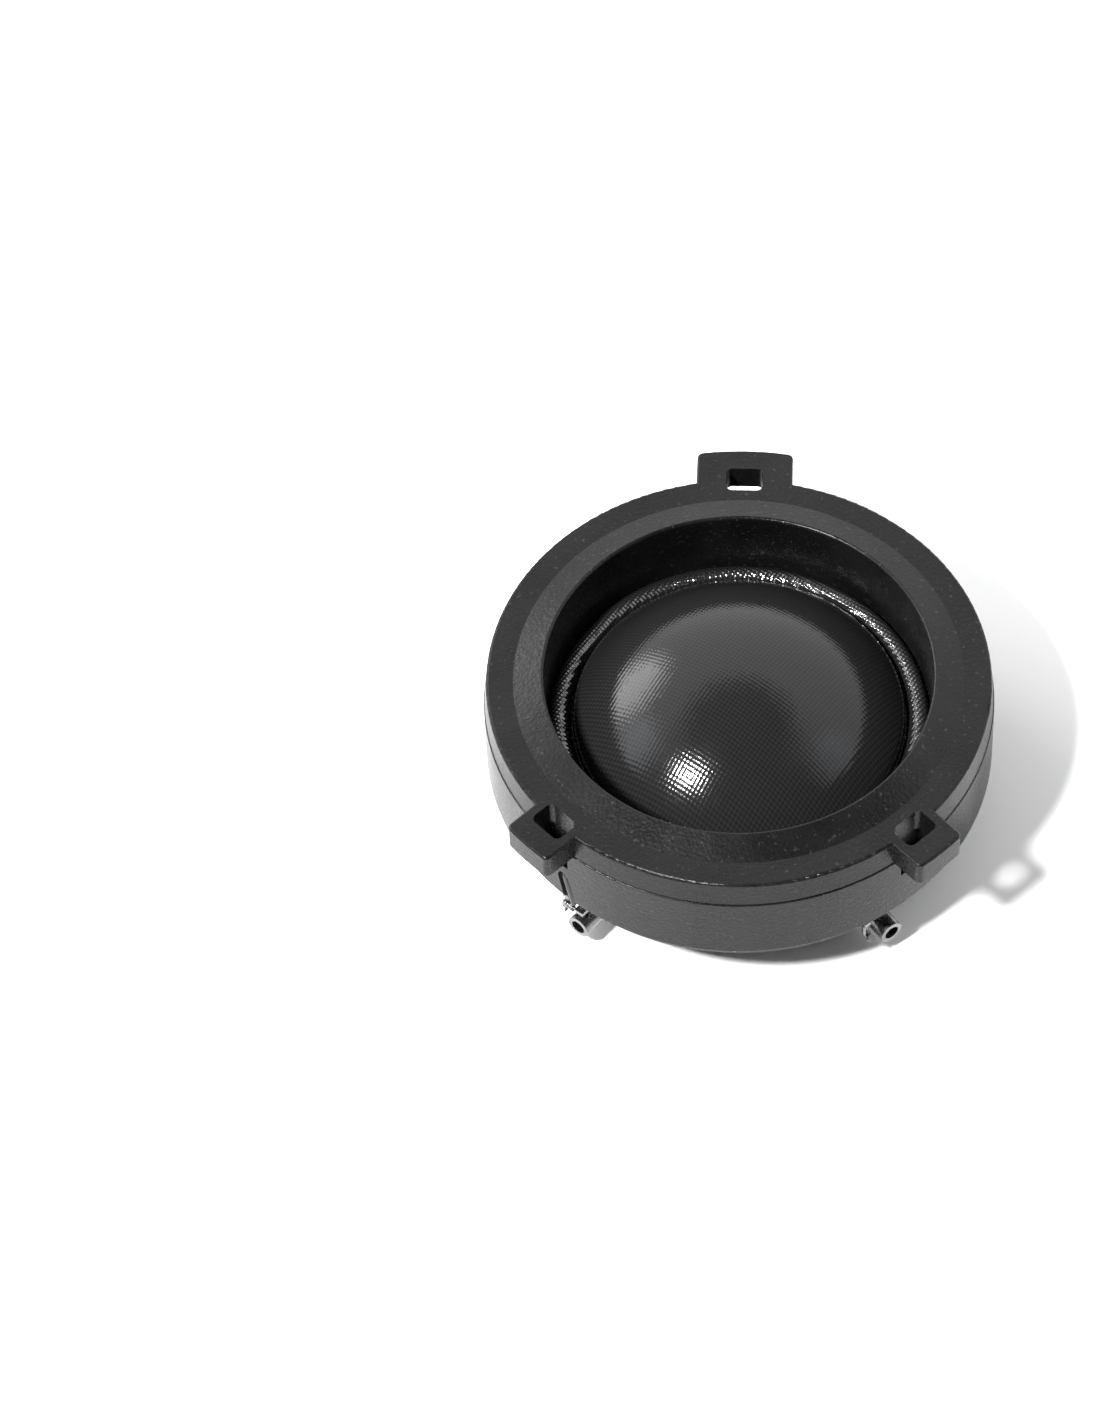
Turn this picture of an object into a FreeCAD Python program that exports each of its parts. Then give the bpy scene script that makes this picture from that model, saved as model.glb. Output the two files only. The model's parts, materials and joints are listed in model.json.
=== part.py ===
import FreeCAD, Part
import math
import os
import re
import Sketcher

# Car tweeter: a 25 mm silk dome in a moulded body with three slotted mounting tabs.
# The axis of the dome is Z. The origin is the centre of the magnet cup's rear face,
# which is the face the tweeter rests on, and the dome looks up, along +Z.
# The front is -Y: the wide tab is at the back (+Y), the narrow tabs are front left and front right.

SIZES = {
    # Front ring
    "face_height": 14.0,            # flat rim of the face, above the rear face
    "face_radius": 19.5,
    "rim_flare": 0.17,              # how much wider the rim is at its foot
    "rim_round": 0.22,              # rounding of the rim's outer edge and of the tabs
    "cone_radius": 17.4,            # where the flat rim turns into the raised cone band
    "lip_height": 14.72,            # top of the cone band, at the aperture
    "lip_round": 0.25,
    "aperture_radius": 15.0,
    "parting_height": 11.65,        # ledge of the rear housing
    "adhesive_thickness": 0.1,
    "spigot_radius": 17.9,          # bore of the housing, and what fits into it
    "spigot_play": 0.1,
    "clamp_play": 0.05,             # between the clamp ring and the well's wall
    "clamp_height": 10.6,           # top of the clamp ring
    "well_wall": 0.8,               # thickness of the well's wall beside the clamp ring
    # Tabs and their slots
    "tab_reach": 22.45,
    "tab_root": 18.0,               # where a tab starts inside the rim
    "tab_corner": 0.5,
    "wide_tab_width": 7.6,
    "narrow_tab_width": 4.5,
    "slot_width": 2.9,
    "slot_inner": 18.4,
    "slot_outer": 20.55,
    "slot_corner": 0.5,
    "wide_tab_azimuth": 90.0,
    "left_tab_azimuth": 225.5,
    "right_tab_azimuth": 314.5,
    # Rear housing
    "body_radius": 19.75,
    "body_bottom": 5.35,
    "body_round": 0.25,             # rounding of the lower edge
    "ledge_round": 0.1,             # rounding of the upper edge
    "floor_height": 7.0,            # top of the housing's floor and of the motor
    "skirt_radius": 16.6,
    "skirt_bottom": 1.5,
    "skirt_chamfer": 0.2,
    "relief_play": 0.1,             # of the housing's reliefs round the slots
    "relief_depth": 2.2,
    "left_lug_azimuth": 232.3,
    "right_lug_azimuth": 308.0,
    "left_lead_azimuth": 228.3,     # where the left lead comes through the wall
    "right_lead_azimuth": 311.5,
    "lead_slant": 2.6,              # how far round its groove leads it, in degrees
    # Dome and surround
    "dome_radius": 12.95,           # outside of the dome's glued edge
    "dome_apex": 15.5,
    "dome_sphere": 17.0,
    "dome_shoulder": 9.0,           # height where the dome's flank has turned upright
    "dome_foot": 8.6,
    "cloth": 0.12,                  # thickness of the coated silk
    "flange_height": 8.45,          # top of the carrier, under the surround's flange
    "flange_gap": 0.03,             # play above the surround's flange, filled by its coat
    "surround_outer": 14.8,
    "surround_inner": 13.2,
    "bond_gap": 0.12,               # between the dome and the surround
    "bond_width": 0.08,
    "bond_rise": 0.2,               # of the bead above the dome's foot
    "carrier_lip": 0.3,             # of the carrier under the roll
    # Voice coil and motor
    "former_inner": 12.7,
    "former_wall": 0.1,
    "former_bottom": 4.9,
    "former_top": 8.9,
    "winding_wall": 0.3,
    "winding_bottom": 4.95,
    "winding_top": 6.95,
    "cup_radius": 15.0,
    "cup_bore": 13.45,
    "cup_floor": 2.0,
    "cup_chamfer": 0.4,
    "disc_edge": 0.15,              # broken edge of the magnet, plate and felt
    "magnet_radius": 12.0,
    "plate_radius": 12.4,
    "plate_thickness": 2.0,
    "felt_radius": 11.2,
    "felt_thickness": 1.2,
    # Terminals and leads, in the frame of a terminal: X along the radius, Y across it
    "board_thickness": 1.1,
    "board_outer": 19.0,
    "board_arc": 110.0,
    "foot_inner": 16.7,
    "foot_outer": 18.6,
    "foot_side": 1.6,
    "foot_margin": 0.3,             # of the foot round the hook
    "ear_side": 0.4,                # of the left foot's ear, which carries the tang
    "lug_sheet": 0.35,
    "barrel_radius": 0.95,
    "barrel_bore": 0.6,
    "barrel_height": 2.3,
    "barrel_end": 19.7,
    "hook_place": 18.7,
    "hook_side": 1.8,
    "hook_wire": 0.28,
    "hook_bend": 0.42,
    "hook_low": 3.1,
    "hook_turn": 150.0,             # how far the hook is bent round, in degrees
    "tang_place": 19.45,
    "tang_radius": 0.12,
    "tang_end": 1.6,
    "tang_tip": 0.35,               # bare end beyond the last turn of the lead
    "rivet_place": 17.9,
    "rivet_radius": 0.35,
    "rivet_head": 0.6,
    "rivet_head_height": 0.3,
    "rivet_grip": 0.8,              # how far the rivets reach into the housing
    "channel_width": 1.6,
    "channel_depth": 0.8,
    "pad_thickness": 0.2,
    "pad_inner": 14.6,
    "pad_outer": 17.0,
    "pad_width": 1.3,
    "ribbon_play": 0.05,            # between a ribbon and the coil's former
    "ribbon_outer": 15.4,
    "ribbon_width": 0.6,
    "ribbon_thickness": 0.1,
    "lead_radius": 0.25,
    "lead_play": 0.05,
    "lead_sink": 0.3,               # depth of the left lead's middle under the housing's wall
    "lead_start": 1.4,              # from the roll's outer edge to where the leads start
    "groove_radius": 0.55,
    "exit_radius": 0.4,
    "strand_radius": 0.15,
    "right_solder_radius": 0.29,
    "left_solder_radius": 0.28,
    "turn_spacing": 0.28,           # between turns of the lead on its tang
    "lead_place": 17.35,            # where the right lead goes down through the floor
}

Z_AXIS = UP = FreeCAD.Vector(0, 0, 1)
Y_AXIS = FreeCAD.Vector(0, 1, 0)
doc = FreeCAD.newDocument("car_tweeter")
sheet = doc.addObject("Spreadsheet::Sheet", "Params")
for row, (alias, size) in enumerate(SIZES.items(), start=1):
    sheet.set(f"A{row}", alias)
    sheet.set(f"B{row}", str(size))
    sheet.setAlias(f"B{row}", alias)
doc.recompute()


def bound(text):
    """An expression in the sheet's words, with each word made a reference to its cell."""
    return re.sub(r"[a-z]\w+", lambda word: "Params." + word[0] if word[0] in SIZES else word[0], text)


def number(text):
    """The value that an expression in the sheet's words has now."""
    return float(sheet.evalExpression(bound(str(text))))


def new_body(label, azimuth="0"):
    """An empty body, turned about the dome's axis."""
    body = doc.addObject("PartDesign::Body", label)
    body.Label = label
    body.Placement = FreeCAD.Placement(FreeCAD.Vector(), FreeCAD.Rotation(Z_AXIS, number(azimuth)))
    return body


def new_sketch(body, role, name, height="0", azimuth="0"):
    """A sketch on one of the body's own planes, raised along Z and turned about it."""
    plane = next(item for item in body.Origin.OriginFeatures if item.Role == role)
    sketch = body.newObject("Sketcher::SketchObject", name)
    sketch.AttachmentSupport = [(plane, "")]
    sketch.MapMode = "FlatFace"
    if role == "XY_Plane":
        turn = FreeCAD.Rotation(Z_AXIS, number(azimuth))
        sketch.AttachmentOffset = FreeCAD.Placement(FreeCAD.Vector(0, 0, number(height)), turn)
        sketch.setExpression("AttachmentOffset.Base.z", bound(height))
    return sketch


def pin_point(sketch, edge, end, across, along):
    """Fix one end of an edge at a place given by two expressions."""
    for kind, axis, text in (("DistanceX", -2, across), ("DistanceY", -1, along)):
        if text == "0":
            sketch.addConstraint(Sketcher.Constraint("PointOnObject", edge, end, axis))
            continue
        index = sketch.addConstraint(Sketcher.Constraint(kind, -1, 1, edge, end, number(text)))
        sketch.setExpression(f"Constraints[{index}]", bound(text))


def draw_outline(sketch, points):
    """Draw a closed outline through points of two expressions each.

    A third item makes the edge that leaves the point an arc: its radius, positive where
    the arc turns left, and negative where it turns right.
    """
    places = [FreeCAD.Vector(number(point[0]), number(point[1]), 0) for point in points]
    for index, point in enumerate(points):
        start, end = places[index], places[(index + 1) % len(points)]
        if len(point) == 2:
            sketch.addGeometry(Part.LineSegment(start, end))
            pin_point(sketch, index, 1, point[0], point[1])
            continue
        radius = number(point[2])
        chord = end - start
        side = FreeCAD.Vector(-chord.y, chord.x, 0).normalize() * math.copysign(1, radius)
        rise = math.sqrt(radius ** 2 - (chord.Length / 2) ** 2)
        centre = (start + end) * 0.5 + side * rise
        circle = Part.Circle(centre, Z_AXIS, abs(radius))
        first, last = (start, end) if radius > 0 else (end, start)
        sketch.addGeometry(Part.ArcOfCircle(circle, circle.parameter(first), circle.parameter(last)))
        start_end = 1 if radius > 0 else 2
        pin_point(sketch, index, start_end, point[0], point[1])
        size = sketch.addConstraint(Sketcher.Constraint("Radius", index, abs(radius)))
        sketch.setExpression(f"Constraints[{size}]", bound(f"abs({point[2]})"))
    for index, point in enumerate(points):
        following = (index + 1) % len(points)
        leaving = 1 if len(point) == 3 and number(point[2]) < 0 else 2
        arriving = 2 if len(points[following]) == 3 and number(points[following][2]) < 0 else 1
        sketch.addConstraint(Sketcher.Constraint("Coincident", index, leaving, following, arriving))


def revolve(body, points):
    """Turn an outline of (radius, height) points a full turn about the dome's axis."""
    sketch = new_sketch(body, "XZ_Plane", "Profile")
    draw_outline(sketch, points)
    turned = body.newObject("PartDesign::Revolution", "ProfileTurned")
    turned.Profile = sketch
    turned.ReferenceAxis = (sketch, ["V_Axis"])
    turned.Angle = 360
    sketch.Visibility = False
    doc.recompute()
    return turned


def ring_outline(inner, outer, low, high):
    """The four corners of a ring's section."""
    return [(inner, low), (outer, low), (outer, high), (inner, high)]


def pad(body, points, low, high, name, azimuth="0"):
    """Raise an outline of (x, y) points from one height to another."""
    sketch = new_sketch(body, "XY_Plane", name, low, azimuth)
    draw_outline(sketch, points)
    raised = body.newObject("PartDesign::Pad", name + "Pad")
    raised.Profile = sketch
    raised.setExpression("Length", bound(f"{high} - ({low})"))
    doc.recompute()
    return raised


def pocket(body, points, low, high, name, azimuth="0"):
    """Cut an outline of (x, y) points away between two heights, and check that it cut."""
    before = body.Shape.Volume
    sketch = new_sketch(body, "XY_Plane", name, low, azimuth)
    draw_outline(sketch, points)
    cut = body.newObject("PartDesign::Pocket", name + "Pocket")
    cut.Profile = sketch
    cut.Reversed = True
    cut.setExpression("Length", bound(f"{high} - ({low})"))
    doc.recompute()
    if body.Shape.Volume > before - 1e-4:
        raise RuntimeError(f"{name} cuts nothing from {body.Label}")
    return cut


def block(inner, outer, width):
    """A rectangle from one radius to another, centred across the radius."""
    half = f"({width}) / 2"
    return [(inner, f"-({half})"), (outer, f"-({half})"), (outer, half), (inner, half)]


def rod(body, kind, radius, length, start, direction, name):
    """Add or cut a round rod that runs from start along direction."""
    before = body.Shape.Volume if body.Tip else 0
    shape = body.newObject(f"PartDesign::{kind}Cylinder", name)
    shape.setExpression("Radius", bound(radius))
    shape.setExpression("Height", bound(length))
    shape.Placement = FreeCAD.Placement(start, FreeCAD.Rotation(Z_AXIS, direction))
    doc.recompute()
    if abs(body.Shape.Volume - before) < 1e-5:
        raise RuntimeError(f"{name} changes nothing on {body.Label}")
    return shape


def round_edges(body, radius, chosen, name):
    """Round the edges of the body that the test picks."""
    names = [f"Edge{index}" for index, edge in enumerate(body.Shape.Edges, start=1) if chosen(edge)]
    base = body.Tip
    rounded = body.newObject("PartDesign::Fillet", name)
    rounded.Base = (base, names)
    rounded.setExpression("Radius", bound(radius))
    doc.recompute()
    return rounded


def at(radius, azimuth, height):
    """The point at a radius, an azimuth in degrees and a height."""
    angle = math.radians(number(azimuth))
    return FreeCAD.Vector(number(radius) * math.cos(angle), number(radius) * math.sin(angle), number(height))


TABS = (
    ("WideTab", "wide_tab_azimuth", "wide_tab_width"),
    ("LeftTab", "left_tab_azimuth", "narrow_tab_width"),
    ("RightTab", "right_tab_azimuth", "narrow_tab_width"),
)
SIDES = (("left", "left_lug_azimuth"), ("right", "right_lug_azimuth"))
LEADS = (("left", "left_lead_azimuth"), ("right", "right_lead_azimuth"))
PARTS = {
    "front_ring", "clamp_ring", "surround", "diaphragm_carrier", "dome", "dome_bond_ring",
    "coil_former", "voice_coil", "yoke_cup", "magnet", "top_plate", "damping_felt",
    "rear_housing", "adhesive_ring", "terminal_board", "terminal_lug_left", "terminal_lug_right",
    "lead_wire_left", "lead_wire_right", "lead_pad_left", "lead_pad_right",
    "coil_lead_left", "coil_lead_right", "terminal_rivets", "solder_joint_left", "solder_joint_right",
}
RIM_BOTTOM = "parting_height + adhesive_thickness"
BOARD_BOTTOM = "(body_bottom - board_thickness)"
CHANNEL_FLOOR = "(flange_height - channel_depth)"
LEAD_HEIGHT = f"({CHANNEL_FLOOR} + pad_thickness + lead_radius)"
FLANGE_TOP = "(flange_height + cloth)"
CLAMP_BOTTOM = f"({FLANGE_TOP} + flange_gap)"
LEAD_HOLE = "(lead_radius + lead_play)"
RELIEF_INNER = "(slot_inner - relief_play)"
WOUND_HEIGHT = f"({BOARD_BOTTOM} - lug_sheet / 2)"


# Front ring and what it holds down

def make_front_ring():
    """The bezel: flat rim, raised cone band, well wall, spigot and three slotted tabs."""
    body = new_body("front_ring")
    revolve(body, [
        ("aperture_radius", CLAMP_BOTTOM),
        ("aperture_radius + well_wall", CLAMP_BOTTOM),
        ("aperture_radius + well_wall", "clamp_height"),
        ("spigot_radius", "clamp_height"),
        ("spigot_radius", RIM_BOTTOM),
        ("face_radius + rim_flare", RIM_BOTTOM),
        ("face_radius", "face_height"),
        ("cone_radius", "face_height"),
        ("aperture_radius + lip_round", "lip_height", "lip_round"),
        ("aperture_radius", "lip_height - lip_round"),
    ])
    for name, azimuth, width in TABS:
        corner = f"sqrt(tab_reach ^ 2 - ({width} / 2) ^ 2)"
        pad(body, [
            ("tab_root", f"-({width} / 2)"),
            (corner, f"-({width} / 2)", "tab_reach"),
            (corner, f"{width} / 2"),
            ("tab_root", f"{width} / 2"),
        ], RIM_BOTTOM, "face_height", name, azimuth)
    reach = number("tab_reach")

    def is_tab_corner(edge):
        middle = edge.valueAt((edge.FirstParameter + edge.LastParameter) / 2)
        upright = abs(edge.BoundBox.ZLength - edge.Length) < 1e-4
        return upright and math.hypot(middle.x, middle.y) > reach - 0.01

    round_edges(body, "tab_corner", is_tab_corner, "TabCorners")

    def is_rim(edge):
        box = edge.BoundBox
        flat_top = abs(box.ZMin - number("face_height")) < 1e-4 and box.ZLength < 1e-4
        middle = edge.valueAt((edge.FirstParameter + edge.LastParameter) / 2)
        return flat_top and math.hypot(middle.x, middle.y) > number("face_radius") - 0.01

    round_edges(body, "rim_round", is_rim, "Rim")
    for name, azimuth, _ in TABS:
        outline = block("slot_inner", "slot_outer", "slot_width")
        pocket(body, outline, "clamp_height", "face_height + 1", name + "Slot", azimuth)

    def is_slot_corner(edge):
        middle = edge.valueAt((edge.FirstParameter + edge.LastParameter) / 2)
        upright = edge.Length > 1.5 and abs(edge.BoundBox.ZLength - edge.Length) < 1e-4
        corner = (math.hypot(number("slot_inner"), number("slot_width / 2")),
                  math.hypot(number("slot_outer"), number("slot_width / 2")))
        return upright and min(abs(math.hypot(middle.x, middle.y) - size) for size in corner) < 0.01

    round_edges(body, "slot_corner", is_slot_corner, "SlotCorners")


def make_clamp_ring():
    """The ring outside the well's wall that holds the surround's flange down."""
    body = new_body("clamp_ring")
    inner = "aperture_radius + well_wall + clamp_play"
    revolve(body, ring_outline(inner, "spigot_radius - spigot_play", CLAMP_BOTTOM, "clamp_height"))


def make_surround():
    """Coated silk half roll, with a flange under the clamp ring and a land at the dome."""
    body = new_body("surround")
    middle = "(surround_inner + surround_outer) / 2"
    roll = "(surround_outer - surround_inner) / 2"
    low = "flange_height"
    revolve(body, [
        ("spigot_radius - spigot_play", low),
        ("spigot_radius - spigot_play", FLANGE_TOP),
        ("surround_outer", FLANGE_TOP, roll),
        (middle, f"{FLANGE_TOP} + {roll}", roll),
        ("surround_inner", FLANGE_TOP),
        ("dome_radius + bond_gap", FLANGE_TOP),
        ("dome_radius + bond_gap", low),
        ("surround_inner + cloth", low, f"-({roll} - cloth)"),
        (middle, f"{low} + {roll} - cloth", f"-({roll} - cloth)"),
        ("surround_outer - cloth", low),
    ])


def make_diaphragm_carrier():
    """Ring on the housing's floor that the surround is glued to, with two channels for the leads."""
    body = new_body("diaphragm_carrier")
    inner, outer = "surround_outer - carrier_lip", "spigot_radius - spigot_play"
    outline = ring_outline(inner, outer, "floor_height", "flange_height")
    revolve(body, outline)
    for side, azimuth in LEADS:
        channel = block("surround_outer - 1", "spigot_radius + 1", "channel_width")
        pocket(body, channel, CHANNEL_FLOOR, "flange_height + 1", side.title() + "Channel", azimuth)
    under = at("lead_place", "right_lead_azimuth", "floor_height - 1")
    rod(body, "Subtractive", LEAD_HOLE, "3", under, UP, "LeadHole")


# Moving assembly

def make_dome():
    """Silk dome: a spherical cap that turns down into a short upright edge round the former."""
    body = new_body("dome")
    centre = "(dome_apex - dome_sphere)"
    lift = f"(dome_shoulder - {centre})"
    # Radius of the bend that is tangent to the sphere and to the upright edge.
    bend = f"((dome_sphere ^ 2 - dome_radius ^ 2 - {lift} ^ 2) / (2 * (dome_sphere - dome_radius)))"

    def where_sphere_ends(sphere):
        share = f"({sphere}) / (dome_sphere - {bend})"
        return f"(dome_radius - {bend}) * {share}", f"{centre} + {lift} * {share}"

    revolve(body, [
        ("dome_radius", "dome_foot"),
        ("dome_radius", "dome_shoulder", bend),
        (*where_sphere_ends("dome_sphere"), "dome_sphere"),
        ("0", "dome_apex"),
        ("0", "dome_apex - cloth", "-(dome_sphere - cloth)"),
        (*where_sphere_ends("dome_sphere - cloth"), f"-({bend} - cloth)"),
        ("dome_radius - cloth", "dome_shoulder"),
        ("dome_radius - cloth", "dome_foot"),
    ])


def make_dome_bond_ring():
    """Bead of adhesive round the foot of the dome."""
    body = new_body("dome_bond_ring")
    revolve(body, [
        ("dome_radius", "flange_height"),
        ("dome_radius + bond_width", "flange_height"),
        ("dome_radius + bond_width", "dome_foot + bond_rise / 2"),
        ("dome_radius", "dome_foot + bond_rise"),
    ])


def make_coil():
    """Aluminium former and the copper winding near its lower end."""
    former = new_body("coil_former")
    outer = "former_inner + former_wall"
    revolve(former, ring_outline("former_inner", outer, "former_bottom", "former_top"))
    winding = new_body("voice_coil")
    revolve(winding, ring_outline(outer, f"{outer} + winding_wall", "winding_bottom", "winding_top"))


# Motor

def make_motor():
    """Steel cup, neodymium disc, top plate and the felt that damps the space under the dome."""
    cup = new_body("yoke_cup")
    revolve(cup, [
        ("0", "0"),
        ("cup_radius - cup_chamfer", "0"),
        ("cup_radius", "cup_chamfer"),
        ("cup_radius", "floor_height"),
        ("cup_bore", "floor_height"),
        ("cup_bore", "cup_floor"),
        ("0", "cup_floor"),
    ])
    disc(new_body("magnet"), "magnet_radius", "cup_floor", "floor_height - plate_thickness")
    disc(new_body("top_plate"), "plate_radius", "floor_height - plate_thickness", "floor_height")
    disc(new_body("damping_felt"), "felt_radius", "floor_height", "floor_height + felt_thickness")


def disc(body, radius, low, high):
    """A solid disc with slightly broken edges."""
    revolve(body, [
        ("0", low),
        (f"{radius} - disc_edge", low),
        (radius, f"{low} + disc_edge"),
        (radius, f"{high} - disc_edge"),
        (f"{radius} - disc_edge", high),
        ("0", high),
    ])


# Rear housing

def outside_lead(radius):
    """The two ends, at a radius, of the left lead's slanted run down the housing's wall."""
    above_winding = f"{WOUND_HEIGHT} + tang_radius + 2 * strand_radius"
    return (at(radius, "left_lead_azimuth", LEAD_HEIGHT),
            at(radius, "left_lead_azimuth + lead_slant", above_winding))


def make_rear_housing():
    """Moulded body: outer wall, floor, and a skirt that grips the magnet cup."""
    body = new_body("rear_housing")
    revolve(body, [
        ("cup_radius", "skirt_bottom"),
        ("skirt_radius - skirt_chamfer", "skirt_bottom"),
        ("skirt_radius", "skirt_bottom + skirt_chamfer"),
        ("skirt_radius", "body_bottom"),
        ("body_radius - body_round", "body_bottom", "body_round"),
        ("body_radius", "body_bottom + body_round"),
        ("body_radius", "parting_height - ledge_round", "ledge_round"),
        ("body_radius - ledge_round", "parting_height"),
        ("spigot_radius", "parting_height"),
        ("spigot_radius", "floor_height"),
        ("cup_radius", "floor_height"),
    ])
    for name, azimuth, _ in TABS:
        relief = block(RELIEF_INNER, "body_radius + 1", "slot_width + 2 * relief_play")
        low = "parting_height - relief_depth"
        pocket(body, relief, low, "parting_height + 1", name + "Relief", azimuth)
    # The left lead leaves through the wall and runs down a slanted groove to its terminal.
    top, foot = outside_lead("body_radius")
    rod(body, "Subtractive", "groove_radius", str((foot - top).Length), top, foot - top, "Groove")
    inside = at("spigot_radius - 1", "left_lead_azimuth", LEAD_HEIGHT)
    outward = at("1", "left_lead_azimuth", "0")
    rod(body, "Subtractive", "exit_radius", "4", inside, outward, "LeadExit")
    under = at("lead_place", "right_lead_azimuth", "body_bottom - 1")
    rod(body, "Subtractive", LEAD_HOLE, "3", under, UP, "LeadHole")
    for side, azimuth in SIDES:
        under = at("rivet_place", azimuth, "body_bottom - 1")
        rod(body, "Subtractive", "rivet_radius", "1.8", under, UP, side.title() + "RivetHole")


def make_adhesive_ring():
    """Thin bead that bonds the front ring to the housing's ledge."""
    body = new_body("adhesive_ring")
    revolve(body, ring_outline("spigot_radius", RELIEF_INNER, "parting_height", RIM_BOTTOM))


# Terminals and leads

def make_terminal_board():
    """Arc of laminate under the housing, centred on the front, that carries both terminals."""
    front = "270"
    body = new_body("terminal_board", front)
    turned = revolve(body, ring_outline("skirt_radius", "board_outer", BOARD_BOTTOM, "body_bottom"))
    turned.Midplane = True
    turned.setExpression("Angle", bound("board_arc"))
    doc.recompute()
    for side, azimuth in SIDES:
        under = at("rivet_place", f"{azimuth} - {front}", f"{BOARD_BOTTOM} - 1")
        rod(body, "Subtractive", "rivet_radius", "3", under, UP, side.title() + "RivetHole")
    under = at("lead_place", f"right_lead_azimuth - {front}", f"{BOARD_BOTTOM} - 1")
    rod(body, "Subtractive", LEAD_HOLE, "3", under, UP, "LeadHole")


def make_terminal_lug(side, azimuth):
    """Plated terminal: a foot under the board, a leg, a bored barrel and a hook finger."""
    body = new_body(f"terminal_lug_{side}", azimuth)
    low = f"{BOARD_BOTTOM} - lug_sheet"
    pad(body, [
        ("foot_inner", "-(hook_side + foot_margin)"),
        ("hook_place + foot_margin", "-(hook_side + foot_margin)"),
        ("hook_place + foot_margin", "-(hook_side - foot_margin)"),
        ("foot_outer", "-(hook_side - foot_margin)"),
        ("foot_outer", "foot_side"),
        ("foot_inner", "foot_side"),
    ], low, BOARD_BOTTOM, "Foot")
    leg = block("foot_inner", "foot_inner + lug_sheet", "barrel_radius * 1.7")
    pad(body, leg, "barrel_height", f"{low} + 0.1", "Leg")
    start = FreeCAD.Vector(number("foot_inner"), 0, number("barrel_height"))
    along = FreeCAD.Vector(1, 0, 0)
    rod(body, "Additive", "barrel_radius", "barrel_end - foot_inner", start, along, "Barrel")
    start.x = number("foot_inner + lug_sheet")
    rod(body, "Subtractive", "barrel_bore", "4", start, along, "BarrelBore")
    make_hook(body)
    hole = FreeCAD.Vector(number("rivet_place"), 0, number(f"{low} - 0.1"))
    rod(body, "Subtractive", "rivet_radius", "lug_sheet + 0.2", hole, UP, "RivetHole")
    if side == "right":
        hole = at("lead_place", "right_lead_azimuth - right_lug_azimuth", f"{low} - 0.5")
        rod(body, "Subtractive", "lead_radius", "2", hole, UP, "LeadHole")
    else:
        ear = block("foot_outer - 0.2", "tang_place + tang_radius", "ear_side * 2")
        pad(body, ear, low, BOARD_BOTTOM, "Ear")
        root = FreeCAD.Vector(number("tang_place"), 0, number(WOUND_HEIGHT))
        rod(body, "Additive", "tang_radius", "tang_end", root, FreeCAD.Vector(0, -1, 0), "Tang")


def make_hook(body):
    """A finger that goes down beside the barrel and bends outwards."""
    root = f"{BOARD_BOTTOM} - 0.1"
    top = FreeCAD.Vector(number("hook_place"), -number("hook_side"), number(root))
    rod(body, "Additive", "hook_wire", f"{root} - hook_low", top, -UP, "HookFinger")
    bend = body.newObject("PartDesign::AdditiveTorus", "HookBend")
    bend.setExpression("Radius1", bound("hook_bend"))
    bend.setExpression("Radius2", bound("hook_wire"))
    bend.setExpression("Angle3", bound("hook_turn"))
    centre = FreeCAD.Vector(number("hook_place + hook_bend"), -number("hook_side"), number("hook_low"))
    # The bend starts at the finger, turns under, and ends on the outer side.
    inward, down = FreeCAD.Vector(-1, 0, 0), -UP
    turn = FreeCAD.Rotation(inward, down, inward.cross(down), "XYZ")
    bend.Placement = FreeCAD.Placement(centre, turn)
    doc.recompute()


def joined(label, shapes, azimuth="0"):
    """Several primitives as one object; ones that don't touch stay separate solids."""
    fused = doc.addObject("Part::MultiFuse", label)
    fused.Label = label
    fused.Shapes = shapes
    fused.Placement = FreeCAD.Placement(FreeCAD.Vector(), FreeCAD.Rotation(Z_AXIS, number(azimuth)))
    return fused


def cylinder(name, radius, start, end):
    """A Part cylinder between two points."""
    shape = doc.addObject("Part::Cylinder", name)
    shape.setExpression("Radius", bound(radius))
    shape.Height = (end - start).Length
    shape.Placement = FreeCAD.Placement(start, FreeCAD.Rotation(Z_AXIS, end - start))
    return shape


def ball(name, radius, centre, direction=None):
    """A Part sphere, or the half of it that bulges along a direction."""
    shape = doc.addObject("Part::Sphere", name)
    shape.setExpression("Radius", bound(radius))
    turn = FreeCAD.Rotation()
    if direction is not None:
        shape.Angle1 = 0
        turn = FreeCAD.Rotation(Z_AXIS, direction)
    shape.Placement = FreeCAD.Placement(centre, turn)
    return shape


def bent_wire(name, radius, places):
    """Straight rods through the places, with a ball at each bend."""
    rods = [cylinder(f"{name}Run{index}", radius, start, end)
            for index, (start, end) in enumerate(zip(places, places[1:]))]
    balls = [ball(f"{name}Bend{index}", radius, place) for index, place in enumerate(places[1:-1])]
    return rods + balls


def make_lead_wires():
    """The insulated leads from the carrier to the terminals; the left one is wound on its tang."""
    start = "surround_outer + lead_start"
    inner_end = at(start, "left_lead_azimuth", LEAD_HEIGHT)
    left = bent_wire("LeftLead", "lead_radius", [inner_end, *outside_lead("body_radius - lead_sink")])
    for index in range(3):
        turn = doc.addObject("Part::Torus", f"LeftLeadTurn{index}")
        turn.setExpression("Radius1", bound("tang_radius + strand_radius"))
        turn.setExpression("Radius2", bound("strand_radius"))
        across = number(f"tang_end - tang_tip - {index} * turn_spacing")
        place = FreeCAD.Vector(number("tang_place"), -across, number(WOUND_HEIGHT))
        about = FreeCAD.Rotation(Z_AXIS, number("left_lug_azimuth"))
        turn.Placement = FreeCAD.Placement(about.multVec(place), about * FreeCAD.Rotation(Z_AXIS, Y_AXIS))
        left.append(turn)
    joined("lead_wire_left", left)
    joined("lead_wire_right", bent_wire("RightLead", "lead_radius", [
        at(start, "right_lead_azimuth", LEAD_HEIGHT),
        at("lead_place", "right_lead_azimuth", LEAD_HEIGHT),
        at("lead_place", "right_lead_azimuth", f"{BOARD_BOTTOM} - lug_sheet"),
    ]))


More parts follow.
